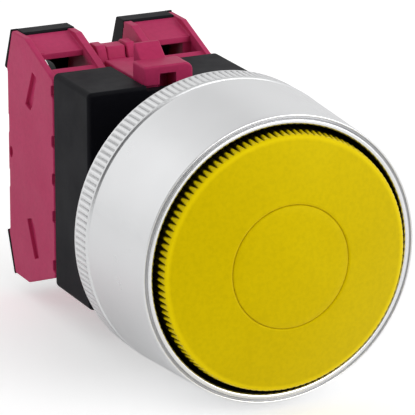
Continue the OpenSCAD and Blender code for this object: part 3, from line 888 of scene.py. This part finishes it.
# ------------------------------------------------------------------ latches and carrier
def build_latches():
    lever = prism("upper_latch_lever", "y", 9.1, 13.5, rect(-4, 15.4, 4.3, 20.2),
                  [0.1, 0.1, 1.3, 0.4], lo_r=0.32, hi_r=0.2, edge_steps=4, corner_steps=6)
    cut(lever, cutter("y", 8.0, 9.8, rect(-6, 14, 6, 17.2), 0))
    for side in (-1, 1):
        join(lever, prism("leg", "x", side * 2.7 - 1.3, side * 2.7 + 1.3,
                          rect(9.8, 12.9, 12.9, 16.0), [0.35, 0.5, 0, 0],
                          lo_r=0.18, hi_r=0.18))
    strap = rect(12.8, 14.9, 26.9, 16.9)
    tab = [(13.1, 15.6), (16.05, 15.6), (16.05, 22.3), (15.62, 22.3), (13.1, 20.15)]
    knuckle = [(25.6, 14.9), (31.7, 14.9), (32.1, 15.5), (32.1, 16.6), (31.4, 18.4),
               (28.7, 18.4), (28.2, 16.6), (25.6, 16.6)]
    join(lever, prism("strap", "x", -2.9, 2.9, strap, [0, 0.5, 0.5, 0], lo_r=0.3, hi_r=0.3))
    join(lever, prism("tab", "x", -2.75, 1.6, tab, [0, 0, 0.2, 0.2, 0], lo_r=0.28, hi_r=0.28))
    join(lever, prism("knuckle", "x", -1.6, 1.6, knuckle,
                      [0, 0.4, 0.4, 0.4, 0.4, 0.35, 0.3, 0], lo_r=0.25, hi_r=0.25))
    # slot between the legs, then the pin hole
    cut(lever, cutter("y", 8.0, 12.6, rect(-1.4, 11.5, 1.4, 18.9), 0.25),
        cutter("y", 8.0, 13.7, rect(-1.4, 11.5, 1.4, 14.9), 0.1),
        cutter("x", -2.2, 2.2, disk(PIVOT_Y, PIVOT_Z, 0.85, 28), 0,
               lo_mouth=-1.6, hi_mouth=1.6, mouth_r=0.1))
    clean(lever)
    lower = turned_over(lever, "lower_latch_lever")
    finish(lever, "magenta_plastic", "upper_latch", sharp=34)
    finish(lower, "magenta_plastic", "lower_latch", sharp=34)


def build_latch_pins():
    profile = fillet([(0.0, -3.3), (0.8, -3.3), (0.8, 3.3), (0.0, 3.3)],
                     size=0.18, steps=3, closed=False)
    for name, side in (("upper_pin", 1), ("lower_pin", -1)):
        pin = lathe(name, profile, 40, closed=False)
        place = Matrix.Translation((0, PIVOT_Y * MM, side * PIVOT_Z * MM))
        pin.data.transform(place @ Matrix.Rotation(math.pi / 2, 4, "Z"))
        finish(pin, "spring_steel", "latch_pins")


def build_carrier():
    rear = 38.6
    outline = [(20.9, -13.6), (37.6, -13.6), (rear, -12.6), (rear, 12.6), (37.6, 13.6),
               (20.9, 13.6)]
    carrier = prism("carrier_frame", "x", -4.1, 4.1, outline, 0.4, lo_r=0.3, hi_r=0.3)
    join(carrier, prism("rails", "x", -4.95, 4.95, rect(24.1, -7.9, 29.9, 7.9), 0.3,
                        lo_r=0.2, hi_r=0.2))
    ear = [(27.4, 12.4), (33.4, 12.4), (33.3, 13.6), (32.6, 17.6), (31.4, 18.7), (29.0, 18.7),
           (28.4, 18.2), (27.4, 16.2)]
    for x in (-2.6, 2.6):
        for side in (1, -1):
            join(carrier, prism("ear", "x", x - 0.8, x + 0.8, on_side(side, ear),
                                [0, 0, 0, 0.5, 0.4, 0.3, 0.3, 0.4], lo_r=0.2, hi_r=0.2))
        for z in (PIVOT_Z, -PIVOT_Z):
            cut(carrier, cutter("x", x - 1.0, x + 1.0, disk(PIVOT_Y, z, 0.82, 28), 0))
    cut(carrier, cutter("y", 24.0, 39.5, centred(2.6, 10), 0.4, hi_mouth=rear))
    clean(carrier)
    finish(carrier, "magenta_plastic", "block_carrier", sharp=34)


# ------------------------------------------------------------------ contact blocks
# Both parts are drawn as the left block about its own middle. All outlines are (y, z).
OUT = BLOCK_HALF + 1     # where cutters end, clear of the side faces
HOUSING = [(BLOCK_FRONT, -BLOCK_FRONT_TOP), (SHOULDER_Y, -BLOCK_TOP), (37.6, -BLOCK_TOP),
           (40, -13.8), (39.7, -13.1), (39.7, 13.1), (40, 13.8), (37.6, BLOCK_TOP),
           (SHOULDER_Y, BLOCK_TOP), (BLOCK_FRONT, BLOCK_FRONT_TOP)]
HOUSING_CORNERS = [0.5, 0.7, 0.4, 0.3, 0.2, 0.2, 0.3, 0.4, 0.7, 0.5]


def slope(y, drop):
    """Height of the sloping upper side at y, less a drop."""
    rise = BLOCK_TOP - BLOCK_FRONT_TOP
    return BLOCK_FRONT_TOP + rise * (y - BLOCK_FRONT) / (SHOULDER_Y - BLOCK_FRONT) - drop


def left_notch(outline, depth=0.9, corners=0.15, mouth_r=0.1):
    """A shallow cut into the left side face."""
    return cutter("x", -OUT, -BLOCK_HALF + depth, outline, corners,
                  lo_mouth=-BLOCK_HALF, mouth_r=mouth_r)


def shape_housing_side(housing, side):
    """The features that the top (side 1) and the bottom (side -1) share."""
    def placed(outline):
        return on_side(side, outline)

    room = [(22.5, 10.1), (41, 10.1), (41, 19.4), (35, 19.4),
            (SHOULDER_Y, slope(SHOULDER_Y, 1.65)), (22.5, slope(22.5, 1.65))]
    panel = [(35.2, 22.4), (35.2, 20.2), (28.9, 18.4), (25.62, 17.2), (25.62, 22.4)]
    sill = [(25.75, 19.2), (25.75, slope(25.75, 0.62)), (22.1, slope(22.1, 0.62)), (22.1, 19.2)]
    right_rear = [(42, 11.5), (36.6, 11.5), (36.15, 14.65), (34.8, 21), (42, 22)]
    rear_corner = [(37, 19.5), (40, 11.5), (42, 11.5), (42, 23), (37, 23)]
    slanted_slot = [(29.5, 15.6), (27.8, 14.9), (29.3, 10.4), (30.5, 9.0), (32.4, 9.6)]
    front_notches = ([(20.8, 15.7), (22.1, 15.2), (22.1, 13.6), (20.8, 13.1)],
                     [(20.8, 7.5), (22.1, 7.0), (22.1, 5.4), (20.8, 4.9)])
    rear_notch = [(41, 6.5), (39.25, 6.1), (39.25, 3.1), (41, 2.7)]
    rib = [(29.2, 11.6), (30.3, 11.6), (30.3, 18.6), (29.2, 18.6)]

    cut(housing, cutter("x", -4.2, 4.2, placed(room), 0.15))
    cut(housing, cutter("x", -2.6, 2.6, placed(rect(22.45, 9.0, 24.4, 10.4)), 0),
        # recessed panel over the wire entry, the sill in front of it, and the entry itself
        prism("panel", "x", -4.0, 3.7, placed(panel), [0, 0.25, 0.8, 0, 0],
              lo_r=0.25, hi_r=0.25),
        prism("sill", "x", -4.0, 3.7, placed(sill), [0, 0, 0.2, 0], lo_r=0.2, hi_r=0.2),
        prism("entry", "x", -4.0, 3.6, placed(rect(24.8, 14, 28.9, 20)), 0.2, lo_r=0, hi_r=0),
        # room for the rear cover
        cutter("x", -4.05, OUT, placed(rect(34.95, 19.3, 41, 23)), 0),
        cutter("x", 4.15, OUT, placed(right_rear), 0),
        cutter("x", -4.05, OUT, placed(rear_corner), 0),
        left_notch(placed(slanted_slot), depth=0.60))
    for notch in front_notches:
        cut(housing, left_notch(placed(notch)))
    cut(housing, cutter("x", -OUT, OUT, placed(rear_notch), [0, 0.2, 0.2, 0]))
    join(housing, prism("rib", "x", -4.27, -2.8, placed(rib), [0.15, 0.15, 0, 0],
                        lo_r=0, hi_r=0.15))


def housing_shape():
    housing = prism("housing", "x", -BLOCK_HALF, BLOCK_HALF, HOUSING, HOUSING_CORNERS,
                    lo_r=0.28, hi_r=0.16)
    cut(housing, cutter("x", -4.2, 4.2, rect(22.5, -9.3, 41, 9.3), 0.3))
    for side in (1, -1):
        shape_housing_side(housing, side)
    oval = [(38.6 + 0.62 * math.cos(t), 0.95 * math.sin(t))
            for t in [TAU * i / 24 for i in range(24)]]
    cut(housing, left_notch([(20.8, 1.3), (22.1, 0.8), (22.1, -0.8), (20.8, -1.3)]),
        left_notch(oval, depth=0.6, corners=0, mouth_r=0.08),
        # push rod hole, cover opening, and the seat of the carrier's rail
        cutter("y", 20, 24, disk(0, 0, 2.1), 0, lo_mouth=BLOCK_FRONT),
        cutter("x", -4.2, OUT, rect(37.05, -12.1, 42, 12.1), 0),
        cutter("x", BLOCK_HALF - 0.85, OUT, rect(23.95, -8.05, 30.05, 8.05), 0.1))
    clean(housing)
    return housing


def cover_shape():
    cover = prism("cover", "x", -4.15, BLOCK_HALF, rect(37.1, -12.6, 39.7, 12.6), 0.1,
                  lo_r=0.1, hi_r=0.15)
    top = [(37.1, 11.6), (36.9, 15.6), (35.6, 19.35), (35.0, 19.35), (35.0, 20.55),
           (38.1, 20.55), (40.8, 13.8), (40.3, 13.2), (39.7, 11.6)]
    edge = [(36.65, 11.6), (36.2, 14.65), (34.95, 20.55), (38.1, 20.55), (40.8, 13.8),
            (40.3, 13.2), (39.7, 11.6)]
    rim = [(37.75, 20.3), (37.8, 20.55), (38.1, 20.55), (40.8, 13.8), (40.2, 13.6)]
    for side in (1, -1):
        join(cover,
             prism("top", "x", -4.0, 4.3, on_side(side, top),
                   [0, 0.2, 0.2, 0, 0.25, 0.35, 0.3, 0.2, 0], lo_r=0.2, hi_r=0),
             prism("edge", "x", 4.2, BLOCK_HALF, on_side(side, edge),
                   [0, 0.1, 0.3, 0.35, 0.3, 0.2, 0], lo_r=0, hi_r=0.18),
             prism("rim", "x", -BLOCK_HALF, -3.8, on_side(side, rim), [0, 0, 0.2, 0.2, 0],
                   lo_r=0.12, hi_r=0))
    for side in (-1, 1):
        cut(cover, cutter("y", 33, 42, disk(0, side * 12.6, 2.6, 40), 0))
    clean(cover)
    return cover


def build_block_parts(shape, material, node, name):
    """The left part as drawn, and the right one turned half round."""
    left = shape()
    right = turned_over(left, "right" + name)
    left.name = "left" + name
    left.data.transform(Matrix.Translation((-BLOCK_X * MM, 0, 0)))
    right.data.transform(Matrix.Translation((BLOCK_X * MM, 0, 0)))
    finish(left, material, "left" + node, sharp=34)
    finish(right, material, "right" + node, sharp=34)


# ------------------------------------------------------------------ springs
def helix(name, coil_r, wire_r, front, rear, turns, x=0.0, steps=36, sides=12):
    """A coil spring whose end turns lie nearly closed; steps are per turn."""
    count = int(turns * steps)
    span = rear - front - 2 * wire_r
    dead = 0.8 / turns                  # share of the length of wire in each closed end
    rise = 2.04 * wire_r / span         # share of the height one closed turn takes

    def lift(t):
        if t < dead:
            return rise * t / dead * 0.8
        if t > 1 - dead:
            return 1 - rise * (1 - t) / dead * 0.8
        return rise * 0.8 + (t - dead) / (1 - 2 * dead) * (1 - 1.6 * rise)

    def station(i):
        t = i / count
        return TAU * turns * t, front + wire_r + span * lift(t)

    verts = []
    faces = []
    for i in range(count + 1):
        angle, y = station(i)
        outward = Vector((math.cos(angle), 0, math.sin(angle)))
        for j in range(sides):
            b = TAU * j / sides
            q = outward * (coil_r + wire_r * math.cos(b))
            verts.append(((x + q.x) * MM, (y + wire_r * math.sin(b)) * MM, q.z * MM))
    for i in range(count):
        for j in range(sides):
            k = (j + 1) % sides
            faces.append((i * sides + j, (i + 1) * sides + j,
                          (i + 1) * sides + k, i * sides + k))
    # slightly domed ends of the wire
    for i, bulge in ((0, -0.35), (count, 0.35)):
        angle, y = station(i)
        tip = len(verts)
        verts.append(((x + coil_r * math.cos(angle) - math.sin(angle) * bulge * wire_r) * MM,
                      y * MM,
                      (coil_r * math.sin(angle) + math.cos(angle) * bulge * wire_r) * MM))
        for j in range(sides):
            a = i * sides + j
            b = i * sides + (j + 1) % sides
            faces.append((tip, a, b) if i == 0 else (tip, b, a))
    obj = mesh_object(name, verts, faces)
    orient(obj)
    return obj


def build_springs():
    coil = helix("return_coil", coil_r=6.75, wire_r=0.59, front=-14.95, rear=-3.05, turns=5.25)
    finish(coil, "spring_steel", "return_spring", weighted=False)
    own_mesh(coil)
    for side, x in (("left", -BLOCK_X), ("right", BLOCK_X)):
        coil = helix(side + "_contact_coil", coil_r=2.05, wire_r=0.29, front=25.74, rear=37.05,
                     turns=6.5, x=x, steps=28, sides=10)
        finish(coil, "spring_steel", side + "_contact_spring", weighted=False)
        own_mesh(coil)


# ------------------------------------------------------------------ small turned parts
def build_seals():
    wire_r = 0.77
    profile = [(7.69 + wire_r * math.cos(t), -18.95 + wire_r * math.sin(t))
               for t in [TAU * i / 24 for i in range(24)]]
    finish(lathe("seal_ring", profile, 144), "black_rubber", "plunger_oring", weighted=False)
    profile = fillet([(11.2, -6.98), (11.2, -6.42), (20.15, -6.42), (20.48, -6.55),
                      (20.48, -6.98)], size=0.1, steps=3)
    gasket = lathe("gasket_ring", densify(profile, step=1.2), 192)
    finish(gasket, "black_rubber", "panel_gasket")
    profile = fillet([(11.2, -7.54), (18.6, -7.54), (18.6, -7.01), (11.2, -7.01)],
                     size=0.08, steps=3)
    washer = lathe("thrust_ring", densify(profile, step=1.5), 160)
    finish(washer, "zinc_steel", "thrust_washer")


def hexagon(radius, front, rear):
    """Cutter for a hexagon socket on the axis."""
    verts = [(radius * math.cos(TAU * i / 6) * MM, y * MM, radius * math.sin(TAU * i / 6) * MM)
             for y in (front, rear) for i in range(6)]
    sides = [(i, i + 6, (i + 1) % 6 + 6, (i + 1) % 6) for i in range(6)]
    obj = mesh_object("hex", verts, [tuple(range(6)), tuple(range(11, 5, -1))] + sides)
    orient(obj)
    return obj


def build_cap_screw():
    profile = [(0.0, -31.6), (2.75, -31.6), (2.95, -31.56), (3.35, -31.25), (3.47, -31.05),
               (3.5, -30.9), (3.5, -29.55), (3.42, -29.42), (3.3, -29.4), (2.05, -29.4),
               (2.0, -29.3)]
    profile += shank(2.0, -29.2, -14.45, step=0.10)
    profile += [(2.0, -14.4), (1.6, -14.0), (0.0, -14.0)]
    shape = thread(2.0, depth=0.30, pitch=0.7, front=-26.0, rear=-14.3)
    screw = lathe("cap_bolt", profile, 64, shape, closed=False)
    cut(screw, hexagon(1.45, -32.5, -30.1))
    finish(screw, "zinc_steel", "cap_screw", sharp=38)


def build_pusher_screw():
    """The screw of the cross plate, its head to the rear."""
    profile = [(0.0, 4.8), (1.1, 4.8), (1.5, 5.2)]
    profile += shank(1.5, 5.3, 11.1, step=0.08)
    profile += [(1.5, 11.3), (1.56, 11.4), (4.6, 11.4), (4.7, 11.5), (4.7, 12.5),
                (4.62, 12.62), (2.9, 12.97), (2.5, 13.0), (0.0, 13.0)]
    shape = thread(1.5, depth=0.22, pitch=0.5, front=5.2, rear=11.2)
    screw = lathe("pusher_bolt", profile, 64, shape, closed=False)
    cut(screw, hexagon(1.2, 11.9, 13.5))
    finish(screw, "zinc_steel", "pusher_screw", sharp=38)


def build_plunger():
    profile = fillet([(0.0, -24.0), (8.1, -24.0), (8.43, -23.6), (8.43, -20.0), (6.9, -20.0),
                      (6.9, -17.9), (8.43, -17.9), (8.43, -15.0), (5.0, -15.0), (5.0, 1.02),
                      (4.2, 1.02), (4.2, 1.8), (5.0, 1.8), (5.0, 9.2), (4.0, 9.2),
                      (4.0, 11.38), (0.0, 11.38)], size=0.12, steps=3, closed=False)
    plunger = lathe("plunger_shell", profile, 128, closed=False)
    front_bore = [(0, -24.3), (2.35, -24.3), (2.35, -24.02), (2.03, -23.7), (2.03, -13.6),
                  (0, -13.6)]
    rear_bore = [(0, 4.6), (1.53, 4.6), (1.53, 11.6), (0, 11.6)]
    cut(plunger, lathe("front_bore", front_bore, 48, closed=False))
    cut(plunger, lathe("rear_bore", rear_bore, 40, closed=False))
    finish(plunger, "black_plastic", "plunger", sharp=38)


def build_push_rods():
    profile = fillet([(0.0, 11.46), (1.7, 11.46), (2.0, 11.75), (2.0, 24.89), (1.0, 24.89),
                      (1.0, 29.9), (0.7, 30.3), (0.0, 30.3)], size=0.1, steps=3, closed=False)
    for side, x in (("left", -BLOCK_X), ("right", BLOCK_X)):
        rod = lathe(side + "_rod", profile, 64, closed=False)
        rod.data.transform(Matrix.Translation((x * MM, 0, 0)))
        finish(rod, "ivory_plastic", side + "_push_rod")


# ------------------------------------------------------------------ pieces that keep their CAD shape
def refine(node, material, width, segments=2):
    """A copy of a CAD node with clean faces and rounded edges; width is in mm."""
    mesh = frame["nodes"][node].data.copy()
    mesh.materials.clear()
    obj = link_object(node + "_shell", mesh)
    clean(obj, merge=2e-6, flat_deg=0.9, drop_loose=False)
    edge = obj.modifiers.new("edge", "BEVEL")
    edge.width = width * MM
    edge.segments = segments
    edge.limit_method = "ANGLE"
    edge.angle_limit = math.radians(34)
    edge.use_clamp_overlap = False
    edge.miter_outer = "MITER_SHARP"
    edge.harden_normals = False
    finish(obj, material, node)


def build_cad_pieces():
    refine("plunger_clip", "spring_steel", width=0.08)
    refine("pusher_plate", "black_plastic", width=0.2, segments=3)
    refine("rear_plate_screws", "zinc_steel", width=0.05)
    for side in ("left", "right"):
        refine(side + "_contact_bridge", "contact_brass", width=0.07)
        refine(side + "_fixed_contacts", "contact_brass", width=0.08)
        refine(side + "_clamp_washers", "zinc_steel", width=0.08)
        refine(side + "_terminal_screws", "zinc_steel", width=0.06)


# ------------------------------------------------------------------ floor, light and camera
def build_floor():
    z = -23.42 * MM
    half = 1.6
    floor = mesh_object("floor", [(x, y, z) for x, y in centred(half, half)], [(0, 1, 2, 3)])
    nodes, surface = new_material("pale_floor")
    mottle = nodes.noise(nodes.coords(), scale=6.0, detail=3.0)
    nodes.feed(surface.inputs["Base Color"], nodes.ramp(mottle, (0.3, 0.86), (0.7, 0.90)))
    surface.inputs["Roughness"].default_value = 0.7
    surface.inputs["Specular IOR Level"].default_value = 0.2
    nodes.feed(surface.inputs["Emission Color"], (1, 1, 1))
    # glows more to the camera than onto the button
    seen = nodes.add("LightPath").outputs["Is Camera Ray"]
    glow = nodes.remap(seen, source=(0.0, 1.0), target=(0.13, 0.42))
    nodes.feed(surface.inputs["Emission Strength"], glow)
    floor.data.materials.append(MATERIALS["pale_floor"])


def build_world():
    world = bpy.data.worlds.new("studio")
    scene.world = world
    world.use_nodes = True
    nodes = Nodes(world.node_tree)
    output = nodes.add("OutputWorld")
    background = nodes.add("Background", {"Color": (1, 1, 1)})
    nodes.feed(output.inputs[0], background.outputs[0])
    view = nodes.add("TexCoord").outputs["Generated"]
    view = nodes.add("VectorMath", {0: view}, operation="NORMALIZE").outputs[0]

    def toward(direction, source, target):
        """Brightness by how closely the view follows a direction."""
        closeness = nodes.dot(view, Vector(direction).normalized())
        return nodes.remap(closeness, source, target)

    # the dim part of the studio round the camera, and the brighter upper right
    spot = toward((-0.4140, -0.8579, 0.3044), source=(0.78, 0.96), target=(1.0, 0.10))
    sky = toward((0.45, -0.55, 0.60), source=(-1.0, 1.0), target=(0.66, 0.98))
    behind = toward((-0.45, 0.80, 0.40), source=(0.75, 0.99), target=(1.0, 1.25))
    overhead = toward((0.1, 0.2, 1.0), source=(0.60, 0.98), target=(1.0, 0.60))
    light = nodes.times(nodes.times(spot, sky), nodes.times(behind, overhead))
    nodes.feed(background.inputs["Strength"], light)


def build_key_light():
    light = bpy.data.lights.new("key", "AREA")
    light.energy = 4.7
    light.shape = "RECTANGLE"
    light.size = 0.7
    light.size_y = 0.7
    key = link_object("key", light)
    key.location = (0.45, -1.00, 0.18)
    # aimed at the origin
    aim = -Vector((0.45, -1.00, 0.18))
    key.rotation_euler = aim.to_track_quat("-Z", "Y").to_euler()


def build_camera():
    lens = bpy.data.cameras.new("camera")
    camera = link_object("camera", lens)
    lens.sensor_width = 36.0
    lens.lens = 320.01831325
    lens.clip_start = 0.05
    lens.clip_end = 10.0
    camera.location = Vector((-233.52, -488.87, 172.77)) * MM
    # the camera looks along -back, with its upper edge level
    back = Vector((-0.41399, -0.85790, 0.30441)).normalized()
    right = (-back).cross(Vector((0, 0, 1))).normalized()
    up = right.cross(-back)
    camera.rotation_euler = Matrix((right, up, back)).transposed().to_euler()
    scene.camera = camera
    scene.view_settings.view_transform = "Standard"
    scene.view_settings.look = "None"


build_plastics()
build_ring_materials()
build_metals()

build_cap()
build_disc()
build_ring()
build_operator_block()
build_operator_neck()
build_springs()
build_seals()
build_cap_screw()
build_pusher_screw()
build_plunger()
build_push_rods()
build_rear_plate()
build_latches()
build_latch_pins()
build_carrier()
build_block_parts(housing_shape, "magenta_plastic", "_block_housing", "_block_shell")
build_block_parts(cover_shape, "black_plastic", "_rear_cover", "_block_cover")
build_cad_pieces()

build_floor()
build_world()
build_key_light()
build_camera()
